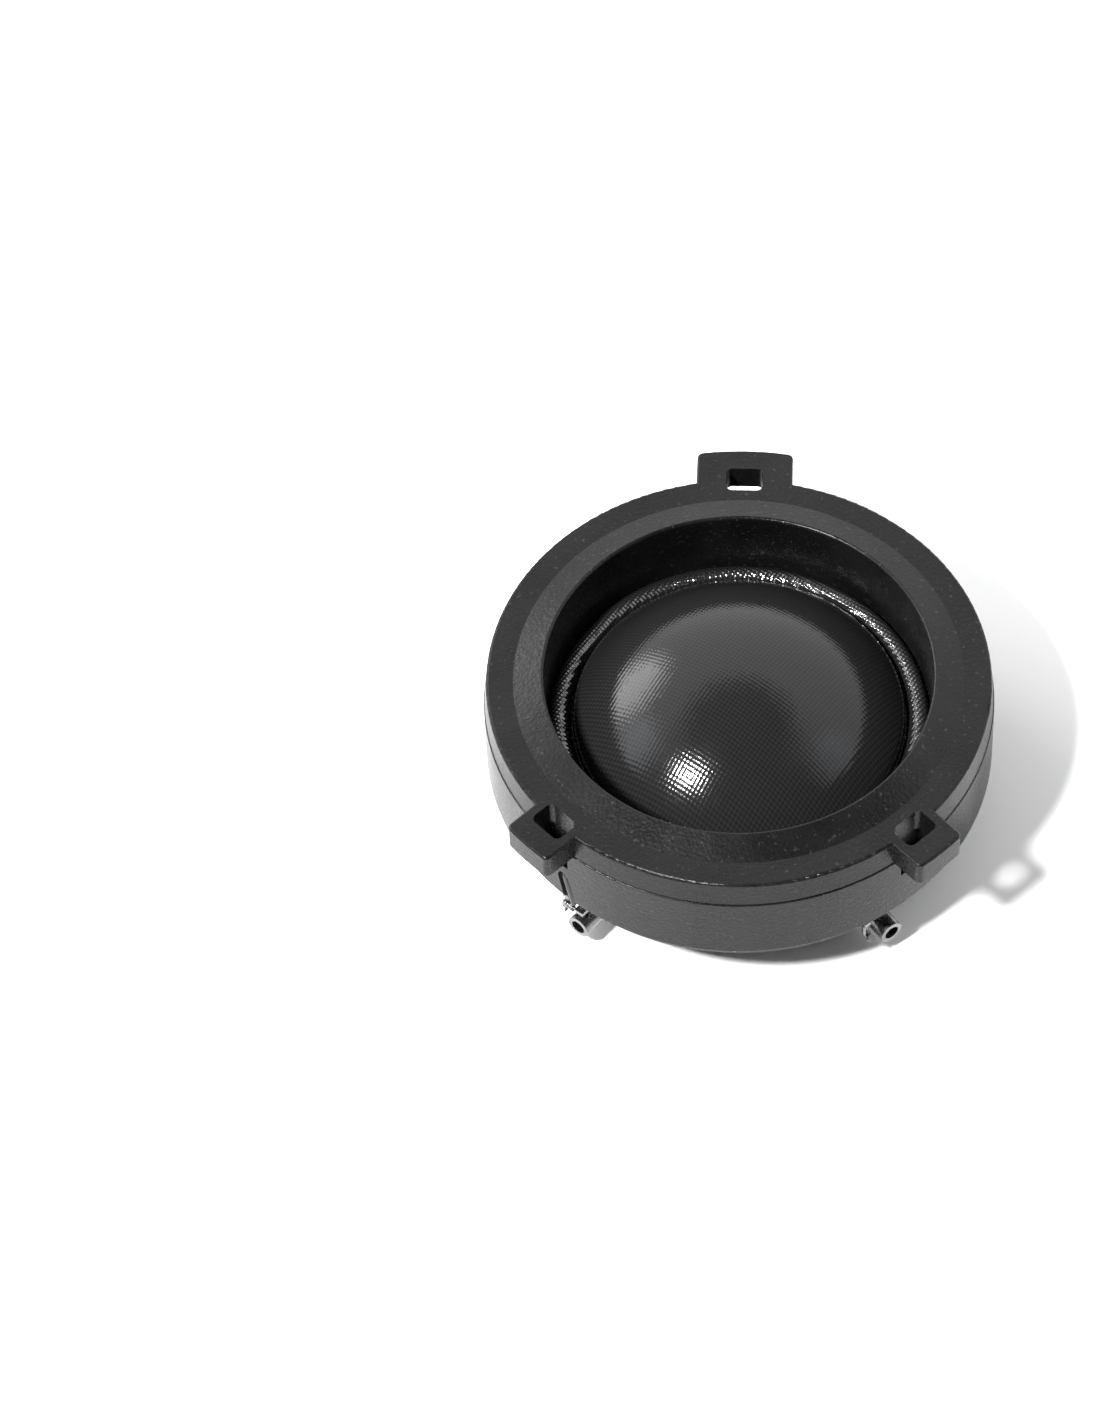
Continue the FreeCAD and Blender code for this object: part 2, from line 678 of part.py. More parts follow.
def make_coil_leads():
    """For each side, the brass pad in its channel and the ribbon from the coil that lies on it."""
    for side, azimuth in LEADS:
        strip = new_body(f"lead_pad_{side}", azimuth)
        pad_top = f"{CHANNEL_FLOOR} + pad_thickness"
        outline = block("pad_inner", "pad_outer", "pad_width")
        pad(strip, outline, CHANNEL_FLOOR, pad_top, "Strip")
        ribbon = new_body(f"coil_lead_{side}", azimuth)
        outline = block("former_inner + former_wall + ribbon_play", "ribbon_outer", "ribbon_width")
        pad(ribbon, outline, pad_top, f"{pad_top} + ribbon_thickness", "Ribbon")


def make_terminal_fasteners():
    """The two rivets, as one group, and the two solder joints."""
    shapes = []
    low = f"{BOARD_BOTTOM} - lug_sheet"
    for side, azimuth in SIDES:
        head, seat, end = (at("rivet_place", azimuth, height)
                           for height in (f"{low} - rivet_head_height", low, "body_bottom + rivet_grip"))
        shapes.append(cylinder(f"RivetHead{side}", "rivet_head", head, seat))
        shapes.append(cylinder(f"RivetShank{side}", "rivet_radius", seat, end))
    joined("terminal_rivets", shapes)
    under = ball("RightSolder", "right_solder_radius", at("lead_place", "right_lead_azimuth", low), -UP)
    under.Label = "solder_joint_right"
    about = FreeCAD.Rotation(Z_AXIS, number("left_lug_azimuth"))
    tip = about.multVec(FreeCAD.Vector(number("tang_place"), -number("tang_end"), number(WOUND_HEIGHT)))
    end = ball("LeftSolder", "left_solder_radius", tip, about.multVec(-Y_AXIS))
    end.Label = "solder_joint_left"


def write_parts():
    """Check every object, then write each labelled sub-part to its own STEP file."""
    doc.recompute()
    for item in doc.Objects:
        if any(state in ("Invalid", "Error") for state in item.State):
            raise RuntimeError(f"{item.Label} is {item.State}")
    names = [item for item in doc.Objects if item.Label in PARTS]
    missing = PARTS - {item.Label for item in names}
    if missing:
        raise RuntimeError(f"not made: {sorted(missing)}")
    for item in names:
        if item.Shape.isNull() or not item.Shape.isValid() or not item.Shape.Solids:
            raise RuntimeError(f"{item.Label} has no valid solid")
    os.makedirs("parts", exist_ok=True)
    for item in names:
        item.Shape.exportStep(f"parts/{item.Label}.step")
        box = item.Shape.BoundBox
        print(f"{item.Label:22} {len(item.Shape.Solids)} solid, {item.Shape.Volume:9.3f} mm3,"
              f" z {box.ZMin:6.2f} to {box.ZMax:6.2f}")


make_front_ring()
make_clamp_ring()
make_surround()
make_diaphragm_carrier()
make_dome()
make_dome_bond_ring()
make_coil()
make_motor()
make_rear_housing()
make_adhesive_ring()
make_terminal_board()
for side_name, lug_azimuth in SIDES:
    make_terminal_lug(side_name, lug_azimuth)
make_lead_wires()
make_coil_leads()
make_terminal_fasteners()
write_parts()
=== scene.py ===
import json
import math

import bmesh
import bpy
from mathutils import Matrix, Vector, noise
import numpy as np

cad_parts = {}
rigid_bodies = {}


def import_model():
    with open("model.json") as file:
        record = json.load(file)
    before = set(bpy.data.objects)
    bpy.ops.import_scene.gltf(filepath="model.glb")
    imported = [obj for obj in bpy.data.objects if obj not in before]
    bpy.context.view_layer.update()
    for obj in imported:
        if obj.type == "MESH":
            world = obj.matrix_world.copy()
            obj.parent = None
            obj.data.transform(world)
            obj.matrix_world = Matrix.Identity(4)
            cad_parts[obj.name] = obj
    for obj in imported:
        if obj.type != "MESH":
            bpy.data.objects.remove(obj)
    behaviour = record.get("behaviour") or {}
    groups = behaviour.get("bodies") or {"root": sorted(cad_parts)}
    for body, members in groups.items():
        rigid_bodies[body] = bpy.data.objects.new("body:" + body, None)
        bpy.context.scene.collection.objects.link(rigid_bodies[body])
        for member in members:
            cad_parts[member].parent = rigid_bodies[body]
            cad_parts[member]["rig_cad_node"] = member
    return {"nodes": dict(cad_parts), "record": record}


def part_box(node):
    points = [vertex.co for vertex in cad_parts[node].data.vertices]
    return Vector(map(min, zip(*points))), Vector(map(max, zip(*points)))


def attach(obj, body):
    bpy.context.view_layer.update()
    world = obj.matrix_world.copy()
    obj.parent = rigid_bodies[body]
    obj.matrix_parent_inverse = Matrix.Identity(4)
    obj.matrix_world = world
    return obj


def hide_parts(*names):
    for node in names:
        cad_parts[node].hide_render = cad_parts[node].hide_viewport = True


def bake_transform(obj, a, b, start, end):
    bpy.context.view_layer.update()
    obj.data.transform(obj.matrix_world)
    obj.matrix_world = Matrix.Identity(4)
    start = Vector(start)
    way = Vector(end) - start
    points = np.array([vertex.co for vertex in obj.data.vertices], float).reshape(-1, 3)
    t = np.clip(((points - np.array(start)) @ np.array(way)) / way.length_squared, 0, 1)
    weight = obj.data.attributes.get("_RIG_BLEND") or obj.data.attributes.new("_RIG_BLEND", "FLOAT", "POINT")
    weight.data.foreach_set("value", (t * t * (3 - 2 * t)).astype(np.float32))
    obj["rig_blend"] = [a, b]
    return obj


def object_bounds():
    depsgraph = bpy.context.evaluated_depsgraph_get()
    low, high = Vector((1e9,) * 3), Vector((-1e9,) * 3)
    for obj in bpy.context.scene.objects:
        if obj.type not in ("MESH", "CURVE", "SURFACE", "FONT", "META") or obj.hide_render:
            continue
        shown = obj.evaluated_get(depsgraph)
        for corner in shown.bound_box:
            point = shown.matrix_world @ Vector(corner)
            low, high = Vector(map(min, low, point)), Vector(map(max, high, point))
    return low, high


# Car tweeter: a glossy coated silk dome in a moulded black body with three slotted tabs.
# All lengths are metres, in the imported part's own frame: the dome looks up +Z, the front is -Y.

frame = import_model()
CAD_BOX = [list(corner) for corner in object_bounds()]
NODES = frame["nodes"]
MM = 0.001

# The silk shell
CLOTH = 0.12 * MM
DOME_SPHERE = 17.0 * MM
DOME_SHOULDER = 9.0 * MM           # height where the dome's flank has turned upright
ROLL_OUTER = 14.8 * MM
ROLL_INNER = 13.2 * MM
BOND_WIDTH = 0.12 * MM             # gap between the dome and the surround, filled by the bond
THREAD_PITCH = 0.22 * MM           # distance between neighbouring threads
WEAVE_ANGLE = -12.0                # of the threads to the X axis
DOME_THREAD_RISE = 0.010 * MM      # the coat is thicker on the dome, and shows less of the weave
ROLL_THREAD_RISE = 0.050 * MM

# Wires
STRAND_RADIUS = 0.09 * MM
SLEEVE_RADIUS = 0.25 * MM
TANG_RADIUS = 0.12 * MM
TANG_PLACE = 19.45 * MM            # radius where the left terminal's tang stands
TANG_LENGTH = 1.6 * MM
TANG_HEIGHT = 4.075 * MM
LEFT_LUG = 232.3                   # azimuths, in degrees
RIGHT_LEAD = 311.5
LEFT_LEAD = 228.3
LEAD_HEIGHT = 8.1 * MM
RIBBON_WIDTH = 0.6 * MM
RIBBON_THICKNESS = 0.06 * MM
RIBBON_ARCH = 0.02 * MM
RIBBON_PLAY = 0.05 * MM            # between a ribbon and the coil's former
COIL_LEADS = (("left", LEFT_LEAD), ("right", RIGHT_LEAD))

# Camera
FACE_CENTRE = Vector((0, 0, 14.0 * MM))
CAMERA_DISTANCE = 462.6 * MM
CAMERA_ELEVATION = 53.46
CAMERA_AZIMUTH = 1.65
CAMERA_ROLL = -0.335
CAMERA_PAN = 1.80                  # the tweeter sits right of the middle of the frame
CAMERA_TILT = -0.32
LENS_MM = 151.9

# Stage
FLOOR_WIDTH = 4.0
LIGHT_DISTANCE = 0.6
WORLD_STRENGTH = 2.1
CEILING_EDGE = (0.865, 0.895)      # upward share of the direction where the room light ends
CEILING_LEFT = 0.02                # share of the room light that is left above that
FRONT_EDGE = (-0.4, 0.3)           # backward share of the direction where it fades to the front
FRONT_LEFT = 0.03


# Mesh helpers

def polar(radius, azimuth, height):
    """The point at a radius, an azimuth in degrees and a height."""
    angle = math.radians(azimuth)
    return Vector((radius * math.cos(angle), radius * math.sin(angle), height))


def arc(centre, radius, start, end, steps):
    """Points of an arc in a section, from one angle to another, in degrees above the radius."""
    across, height = centre
    angles = (math.radians(start + (end - start) * step / steps) for step in range(steps + 1))
    return [(across + radius * math.cos(angle), height + radius * math.sin(angle)) for angle in angles]


def new_piece(name, mesh):
    """A smooth-shaded object for a finished mesh."""
    piece = bpy.data.objects.new(name, mesh)
    bpy.context.scene.collection.objects.link(piece)
    mesh.shade_smooth()
    return piece


def turned(name, section, segments=256):
    """Turn a closed section of (radius, height) points about Z; a radius of 0 is one vertex."""
    mesh = bmesh.new()
    rings = []
    for radius, height in section:
        if radius < 1e-7:
            rings.append([mesh.verts.new((0, 0, height))])
            continue
        places = [polar(radius, 360 * turn / segments, height) for turn in range(segments)]
        rings.append([mesh.verts.new(place) for place in places])
    for ring, following in zip(rings, rings[1:] + rings[:1]):
        for turn in range(max(len(ring), len(following))):
            after = (turn + 1) % segments
            if len(ring) == 1 and len(following) == 1:
                break
            corners = [ring[turn % len(ring)], ring[after % len(ring)],
                       following[after % len(following)], following[turn % len(following)]]
            mesh.faces.new(list(dict.fromkeys(corners)))
    bmesh.ops.recalc_face_normals(mesh, faces=mesh.faces)
    data = bpy.data.meshes.new(name)
    mesh.to_mesh(data)
    mesh.free()
    return new_piece(name, data)


def tube(name, points, radius, sides=6):
    """A smooth round tube along a NURBS line through the points, as a closed mesh."""
    curve = bpy.data.curves.new(name, "CURVE")
    curve.dimensions = "3D"
    curve.bevel_depth = radius
    curve.bevel_resolution = sides
    curve.use_fill_caps = True
    curve.resolution_u = 12
    line = curve.splines.new("NURBS")
    line.points.add(len(points) - 1)
    for control, point in zip(line.points, points):
        control.co = (*point, 1)
    line.order_u = 3
    line.use_endpoint_u = True
    shape = bpy.data.objects.new(name + "_line", curve)
    mesh = bpy.data.meshes.new_from_object(shape)
    mesh.name = name
    bpy.data.objects.remove(shape)
    bpy.data.curves.remove(curve)
    return new_piece(name, mesh)


# Material helpers

class Look:
    """One procedural material, with short calls for the nodes that it is made of."""

    def __init__(self, name, **sockets):
        self.material = bpy.data.materials.new(name)
        self.material.use_nodes = True
        self.nodes = self.material.node_tree.nodes
        self.links = self.material.node_tree.links
        self.shader = self.nodes["Principled BSDF"]
        for socket, value in sockets.items():
            self.shader.inputs[socket.replace("_", " ")].default_value = value
        self.place = self.nodes.new("ShaderNodeTexCoord").outputs["Object"]

    def link(self, value, socket):
        """Feed a socket from another node, or set its number."""
        if isinstance(value, (int, float, tuple)):
            socket.default_value = value
        else:
            self.links.new(value, socket)

    def math(self, operation, first, second=0.0):
        node = self.nodes.new("ShaderNodeMath")
        node.operation = operation
        self.link(first, node.inputs[0])
        self.link(second, node.inputs[1])
        return node.outputs[0]

    def noise(self, size, detail=2.0, roughness=0.5, place=None):
        """Noise with grains of about that size, in metres."""
        node = self.nodes.new("ShaderNodeTexNoise")
        self.links.new(place or self.place, node.inputs["Vector"])
        node.inputs["Scale"].default_value = 1 / size
        node.inputs["Detail"].default_value = detail
        node.inputs["Roughness"].default_value = roughness
        return node.outputs["Fac"]

    def cells(self, size):
        """Distance to the nearest of scattered points about that far apart."""
        node = self.nodes.new("ShaderNodeTexVoronoi")
        self.links.new(self.place, node.inputs["Vector"])
        node.inputs["Scale"].default_value = 1 / size
        return node.outputs["Distance"]

    def turned_place(self, angle=0.0, stretch=(1, 1, 1)):
        """The object's own coordinates, turned about Z and stretched."""
        node = self.nodes.new("ShaderNodeMapping")
        self.links.new(self.place, node.inputs["Vector"])
        node.inputs["Rotation"].default_value = (0, 0, math.radians(angle))
        node.inputs["Scale"].default_value = stretch
        return node.outputs["Vector"]

    def along(self, axis, place=None):
        """One coordinate, in metres."""
        node = self.nodes.new("ShaderNodeSeparateXYZ")
        self.links.new(place or self.place, node.inputs[0])
        return node.outputs[axis]

    def ranged(self, value, low, high, source=(0.3, 0.7)):
        """Map a value from its source range to low and high."""
        node = self.nodes.new("ShaderNodeMapRange")
        self.link(value, node.inputs["Value"])
        node.inputs["From Min"].default_value = source[0]
        node.inputs["From Max"].default_value = source[1]
        node.inputs["To Min"].default_value = low
        node.inputs["To Max"].default_value = high
        return node.outputs["Result"]

    def mix(self, share, first, second):
        """Blend two colours by a share."""
        node = self.nodes.new("ShaderNodeMix")
        node.data_type = "RGBA"
        self.link(share, node.inputs["Factor"])
        self.link(first, node.inputs["A"])
        self.link(second, node.inputs["B"])
        return node.outputs["Result"]

    def bump(self, height, rise, onto=None):
        """Raise the surface by a height of 0 to 1 times rise, in metres."""
        node = self.nodes.new("ShaderNodeBump")
        node.inputs["Strength"].default_value = 1.0
        node.inputs["Distance"].default_value = rise
        self.link(height, node.inputs["Height"])
        if onto is not None:
            self.links.new(onto, node.inputs["Normal"])
        return node.outputs["Normal"]

    def finish(self, colour=None, roughness=None, normal=None):
        """Connect what varies over the surface."""
        for value, socket in ((colour, "Base Color"), (roughness, "Roughness"), (normal, "Normal")):
            if value is not None:
                self.links.new(value, self.shader.inputs[socket])
        return self.material


def grey(value):
    """A neutral colour."""
    return (value, value, value, 1)


# Materials

def moulded_black():
    """Black moulded plastic: fine spark-eroded grain, faint mottling and a little dust."""
    look = Look("moulded_black", IOR=1.47, Specular_IOR_Level=0.2)
    grain = look.noise(0.2 * MM, detail=3.0, roughness=0.6)
    pits = look.cells(0.3 * MM)
    mottle = look.noise(4 * MM, detail=4.0)
    dust = look.ranged(look.noise(0.35 * MM, detail=1.0), 0.0, 0.4, (0.66, 0.74))
    colour = look.mix(look.ranged(mottle, 0, 1), grey(0.003), grey(0.006))
    colour = look.mix(dust, colour, grey(0.04))
    roughness = look.math("ADD", look.ranged(grain, 0.22, 0.34), look.ranged(mottle, 0.0, 0.06))
    normal = look.bump(grain, 0.014 * MM)
    normal = look.bump(pits, 0.012 * MM, normal)
    return look.finish(colour, roughness, normal)


def coated_silk(name, thread_rise, gloss):
    """Plain-weave silk under a glossy black damping coat."""
    look = Look(name, IOR=1.5, Specular_IOR_Level=gloss)
    place = look.turned_place(angle=WEAVE_ANGLE)
    waves = [look.math("SINE", look.math("MULTIPLY", look.along(axis, place), math.pi / THREAD_PITCH))
             for axis in ("X", "Y")]
    threads = look.ranged(look.math("MULTIPLY", *waves), 0, 1, (-1, 1))
    slubs = look.noise(0.5 * MM, detail=3.0)
    coat = look.noise(2.2 * MM, detail=2.0)
    height = look.math("MULTIPLY", threads, look.ranged(slubs, 0.6, 1.3))
    roughness = look.math("ADD", look.ranged(threads, 0.13, 0.08, (0, 1)), look.ranged(coat, 0.0, 0.03))
    normal = look.bump(look.noise(1.3 * MM), 0.006 * MM)
    normal = look.bump(height, thread_rise, normal)
    # Painted shade: the colour is darker in the hollows between the threads and lighter on their crests,
    # following the weave's height.
    colour = look.mix(threads, grey(0.006), grey(0.014))
    return look.finish(colour, roughness, normal)


def plated_metal(name, colour, roughness, brushed=1.0):
    """Plated sheet metal with fine drawing marks and faint tarnish."""
    look = Look(name, Metallic=1.0)
    marks = look.noise(0.08 * MM, detail=4.0, place=look.turned_place(stretch=(1, 1, 0.12)))
    tarnish = look.noise(1.6 * MM, detail=4.0)
    darker = tuple(channel * 0.6 for channel in colour[:3]) + (1,)
    shade = look.mix(look.ranged(tarnish, 0, 1, (0.4, 0.75)), colour, darker)
    rough = look.math("ADD", look.ranged(marks, roughness, roughness + 0.12), look.ranged(tarnish, 0, 0.1))
    return look.finish(shade, rough, look.bump(marks, 0.004 * MM * brushed))


def felt():
    """Pressed grey wool felt."""
    look = Look("felt", Roughness=0.95, Sheen_Weight=0.4, Sheen_Roughness=0.6)
    fibres = look.noise(0.12 * MM, detail=6.0, roughness=0.75, place=look.turned_place(stretch=(1, 0.3, 1)))
    clumps = look.noise(0.9 * MM, detail=3.0)
    colour = look.mix(look.ranged(fibres, 0, 1), (0.07, 0.066, 0.06, 1), (0.2, 0.19, 0.17, 1))
    normal = look.bump(clumps, 0.12 * MM)
    return look.finish(colour, None, look.bump(fibres, 0.08 * MM, normal))


def adhesive():
    """Cured dark adhesive with soft ripples."""
    look = Look("adhesive", IOR=1.48)
    ripples = look.noise(0.5 * MM, detail=2.0)
    colour = look.mix(look.ranged(ripples, 0, 1), grey(0.012), (0.04, 0.038, 0.03, 1))
    return look.finish(colour, look.ranged(ripples, 0.18, 0.38), look.bump(ripples, 0.05 * MM))


def laminate():
    """Dark pressed-paper board with faint fibres."""
    look = Look("laminate", IOR=1.5)
    fibres = look.noise(0.15 * MM, detail=5.0, place=look.turned_place(stretch=(1, 0.25, 1)))
    colour = look.mix(look.ranged(fibres, 0, 1), (0.022, 0.017, 0.012, 1), (0.05, 0.038, 0.026, 1))
    return look.finish(colour, look.ranged(fibres, 0.45, 0.65), look.bump(fibres, 0.01 * MM))


def wound_copper():
    """Enamelled copper with the turns of the winding."""
    look = Look("copper_wire", Metallic=1.0, Coat_Weight=0.6, Coat_Roughness=0.12)
    streaks = look.noise(0.4 * MM, detail=3.0, place=look.turned_place(stretch=(0.3, 0.3, 3)))
    colour = look.mix(look.ranged(streaks, 0, 1), (0.72, 0.27, 0.1, 1), (0.5, 0.17, 0.06, 1))
    return look.finish(colour, look.ranged(streaks, 0.22, 0.38), look.bump(streaks, 0.004 * MM))


def lead_insulation():
    """Satin black wire sleeve."""
    look = Look("lead_insulation", IOR=1.5)
    skin = look.noise(0.2 * MM, detail=3.0)
    colour = look.mix(look.ranged(skin, 0, 1), grey(0.008), grey(0.016))
    return look.finish(colour, look.ranged(skin, 0.28, 0.42), look.bump(skin, 0.01 * MM))


def make_materials():
    """Every finish, by the name of its slot in the record."""
    return {
        "moulded_black": moulded_black(),
        "coated_silk": coated_silk("coated_silk", DOME_THREAD_RISE, 0.22),
        "coated_silk_roll": coated_silk("coated_silk_roll", ROLL_THREAD_RISE, 1.0),
        "adhesive": adhesive(),
        "coil_former": plated_metal("coil_former", (0.72, 0.72, 0.73, 1), 0.3),
        "copper_wire": wound_copper(),
        "zinc_steel": plated_metal("zinc_steel", (0.52, 0.53, 0.55, 1), 0.28, brushed=2.0),
        "nickel_magnet": plated_metal("nickel_magnet", (0.66, 0.64, 0.6, 1), 0.14, brushed=0.5),
        "felt": felt(),
        "laminate": laminate(),
        "tinned_metal": plated_metal("tinned_metal", (0.24, 0.235, 0.24, 1), 0.18),
        "lead_insulation": lead_insulation(),
        "brass_strip": plated_metal("brass_strip", (0.6, 0.43, 0.18, 1), 0.25),
        "solder": plated_metal("solder", (0.6, 0.6, 0.6, 1), 0.3),
    }


def paint(piece, slot_name, finish=None):
    """Give a piece the finish of its slot, or a variant of it."""
    piece.data.materials.clear()
    piece.data.materials.append(MATERIALS[finish or slot_name])


# Pieces

def widest(node):
    """The largest radius that a CAD node reaches."""
    return max(vertex.co.xy.length for vertex in NODES[node].data.vertices)


def make_dome():
    """The silk dome: a spherical cap whose flank bends into an upright edge round the former."""
    low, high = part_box("dome")
    radius, foot, apex = high.x, low.z, high.z
    centre = apex - DOME_SPHERE
    lift = DOME_SHOULDER - centre
    bend = (DOME_SPHERE ** 2 - radius ** 2 - lift ** 2) / (2 * (DOME_SPHERE - radius))
    turn = math.degrees(math.atan2(lift, radius - bend))
    section = [(radius, foot)]
    section += arc((radius - bend, DOME_SHOULDER), bend, 0, turn, 14)
    section += arc((0, centre), DOME_SPHERE, turn, 90, 90)[1:]
    section[-1] = (0, apex)
    inner = arc((0, centre), DOME_SPHERE - CLOTH, 90, turn, 90)
    inner[0] = (0, apex - CLOTH)
    section += inner
    section += arc((radius - bend, DOME_SHOULDER), bend - CLOTH, turn, 0, 14)[1:]
    section.append((radius - CLOTH, foot))
    dome = turned("dome_silk", section)
    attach(dome, "diaphragm")
    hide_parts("dome")
    paint(dome, "coated_silk")


def make_surround():
    """The silk half roll: its flange stays with the body, and its inner land moves with the dome."""
    low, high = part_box("surround")
    base, flange = low.z, high.x
    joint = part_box("dome")[1].x + BOND_WIDTH
    middle, roll = (ROLL_INNER + ROLL_OUTER) / 2, (ROLL_OUTER - ROLL_INNER) / 2
    section = [(flange, base), (flange, base + CLOTH)]
    section += arc((middle, base + CLOTH), roll, 0, 180, 32)
    section += [(joint, base + CLOTH), (joint, base)]
    section += arc((middle, base), roll - CLOTH, 180, 0, 32)
    surround = turned("surround_silk", section)
    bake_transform(surround, "root", "diaphragm", (ROLL_OUTER, 0, base), (ROLL_INNER, 0, base))
    # The roll bends the same way all round, so the share follows the radius, not one straight line.
    for vertex, share in zip(surround.data.vertices, surround.data.attributes["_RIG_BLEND"].data):
        passed = (ROLL_OUTER - vertex.co.xy.length) / (ROLL_OUTER - ROLL_INNER)
        passed = min(max(passed, 0.0), 1.0)
        share.value = passed * passed * (3 - 2 * passed)
    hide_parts("surround")
    paint(surround, "coated_silk", "coated_silk_roll")


def make_bond():
    """The bead that joins dome and surround, a rounded fillet of adhesive."""
    low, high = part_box("dome_bond_ring")
    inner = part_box("dome")[1].x
    outer = high.x
    section = [(inner, low.z), (outer, low.z)]
    section += arc((inner, low.z + (high.z - low.z) * 0.55), outer - inner, 0, 90, 8)
    bond = turned("dome_bond_bead", section)
    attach(bond, "diaphragm")
    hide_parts("dome_bond_ring")
    paint(bond, "adhesive")


def make_voice_coil():
    """The winding, with each of its turns of wire showing on the outside."""
    low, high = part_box("voice_coil")
    wire = 0.1 * MM
    turns = round((high.z - low.z) / wire)
    former = widest("coil_former")
    section = [(former, low.z)]
    for turn in range(turns):
        section += arc((high.x - wire / 2, low.z + wire * (turn + 0.5)), wire / 2, -80, 80, 5)
    section.append((former, high.z))
    coil = turned("voice_coil_winding", section, segments=128)
    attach(coil, "diaphragm")
    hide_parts("voice_coil")
    paint(coil, "copper_wire")


def make_felt():
    """The felt pad under the dome: soft rim and an uneven, fibrous top."""
    low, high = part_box("damping_felt")
    rim = 0.35 * MM
    section = [(0, low.z)] + [(high.x * share, low.z) for share in (0.25, 0.5, 0.75)]
    section += arc((high.x - rim, low.z + rim), rim, -90, 0, 4)
    section += arc((high.x - rim, high.z - rim), rim, 0, 90, 4)
    section += [(high.x * share / 24, high.z) for share in range(22, -1, -1)]
    pad = turned("damping_felt_pad", section, segments=160)
    for vertex in pad.data.vertices:
        if vertex.co.z > low.z + rim:
            vertex.co.z -= (0.5 + 0.5 * noise.noise(vertex.co / (0.8 * MM))) * 0.12 * MM
    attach(pad, "root")
    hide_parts("damping_felt")
    paint(pad, "felt")


def make_tinsel_leads():
    """The flexible ribbons from the coil, slightly arched, that bend as the dome moves."""
    for side, azimuth in COIL_LEADS:
        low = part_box(f"coil_lead_{side}")[0]
        half, thick = RIBBON_WIDTH / 2, RIBBON_THICKNESS / 2
        around = Matrix.Rotation(math.radians(azimuth), 3, "Z")
        inner = widest("coil_former") + RIBBON_PLAY
        outer = widest(f"coil_lead_{side}")
        steps = 16
        mesh = bmesh.new()
        rings = []
        for step in range(steps + 1):
            share = step / steps
            radius = inner + (outer - inner) * share
            middle = low.z + thick + RIBBON_ARCH * math.sin(math.pi * share)
            corners = ((-half, -thick), (half, -thick), (half, thick), (-half, thick))
            rings.append([mesh.verts.new(around @ Vector((radius, across, middle + rise)))
                          for across, rise in corners])
        for ring, following in zip(rings, rings[1:]):
            for side_index in range(4):
                after = (side_index + 1) % 4
                mesh.faces.new((ring[side_index], ring[after], following[after], following[side_index]))
        mesh.faces.new(rings[0])
        mesh.faces.new(rings[-1])
        bmesh.ops.recalc_face_normals(mesh, faces=mesh.faces)
        data = bpy.data.meshes.new(f"tinsel_lead_{side}")
        mesh.to_mesh(data)
        mesh.free()
        ribbon = new_piece(f"tinsel_lead_{side}", data)
        fixed, moving = polar(ROLL_OUTER, azimuth, low.z), polar(inner, azimuth, low.z)
        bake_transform(ribbon, "root", "diaphragm", fixed, moving)
        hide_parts(f"coil_lead_{side}")
        paint(ribbon, "copper_wire")


def make_left_lead():
    """The sleeve that comes out of the wall and down its groove, and the bare strands round the tang."""
    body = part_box("rear_housing")[1].x
    foot = TANG_HEIGHT + TANG_RADIUS + 2 * SLEEVE_RADIUS
    sleeve = tube("lead_left_sleeve", [
        polar(16.0 * MM, LEFT_LEAD, LEAD_HEIGHT),
        polar(body - 1.6 * MM, LEFT_LEAD, LEAD_HEIGHT),
        polar(body - 0.3 * MM, LEFT_LEAD, LEAD_HEIGHT),
        polar(body - 0.3 * MM, LEFT_LEAD + 0.4, LEAD_HEIGHT - 0.7 * MM),
        polar(body - 0.3 * MM, LEFT_LEAD + 2.0, foot + 0.7 * MM),
        polar(body - 0.35 * MM, LEFT_LEAD + 2.3, foot),
    ], SLEEVE_RADIUS)
    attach(sleeve, "root")
    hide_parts("lead_wire_left")
    paint(sleeve, "lead_insulation")

    turns, steps = 4.0, 12
    around = Matrix.Rotation(math.radians(LEFT_LUG), 4, "Z")
    coil = TANG_RADIUS + STRAND_RADIUS
    points = [polar(body - 0.35 * MM, LEFT_LEAD + 2.3, foot + 0.3 * MM),
              polar(body - 0.4 * MM, LEFT_LEAD + 2.4, foot - 0.2 * MM)]
    for step in range(int(turns * steps) + 1):
        angle = 2 * math.pi * step / steps
        across = -TANG_LENGTH + 0.25 * MM + 2.2 * STRAND_RADIUS * step / steps
        spot = Vector((TANG_PLACE + coil * math.cos(angle), across, TANG_HEIGHT + coil * math.sin(angle)))
        points.append(around @ spot)
    strands = tube("lead_left_strands", points, STRAND_RADIUS, sides=3)
    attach(strands, "root")
    paint(strands, "tinned_metal")


def make_solder(name, node, place, axis, radius, height):
    """A solder fillet: a cone with a hollowed flank that wets the metal round it."""
    section = [(0, 0), (radius, 0)]
    section += [(radius * (1 - share) ** 2 + radius * 0.3 * share, height * share ** 0.8)
                for share in (step / 8 for step in range(1, 8))]
    section.append((0, height))
    joint = turned(name, section, segments=32)
    turn = axis.to_track_quat("Z", "Y").to_matrix().to_4x4()
    joint.data.transform(Matrix.Translation(place) @ turn)
    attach(joint, "root")
    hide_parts(node)
    paint(joint, "solder")


def make_solder_joints():
    """One joint at each terminal."""
    low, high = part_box("solder_joint_right")
    top = Vector(((low.x + high.x) / 2, (low.y + high.y) / 2, high.z))
    make_solder("solder_right", "solder_joint_right", top, Vector((0, 0, -1)), 0.42 * MM, 0.35 * MM)
    outward = Matrix.Rotation(math.radians(LEFT_LUG), 3, "Z") @ Vector((0, -1, 0))
    tip = Matrix.Rotation(math.radians(LEFT_LUG), 3, "Z") @ Vector((TANG_PLACE, -TANG_LENGTH, TANG_HEIGHT))
    make_solder("solder_left", "solder_joint_left", tip, outward, 0.26 * MM, 0.25 * MM)


def finish_cad_nodes():
    """Give each CAD node that stays in view the finish that its record names."""
    for row in frame["record"]["subparts"]:
        node = NODES[row["node"]]
        if node.hide_render:
            continue
        paint(node, row["material_slot"])


# Stage

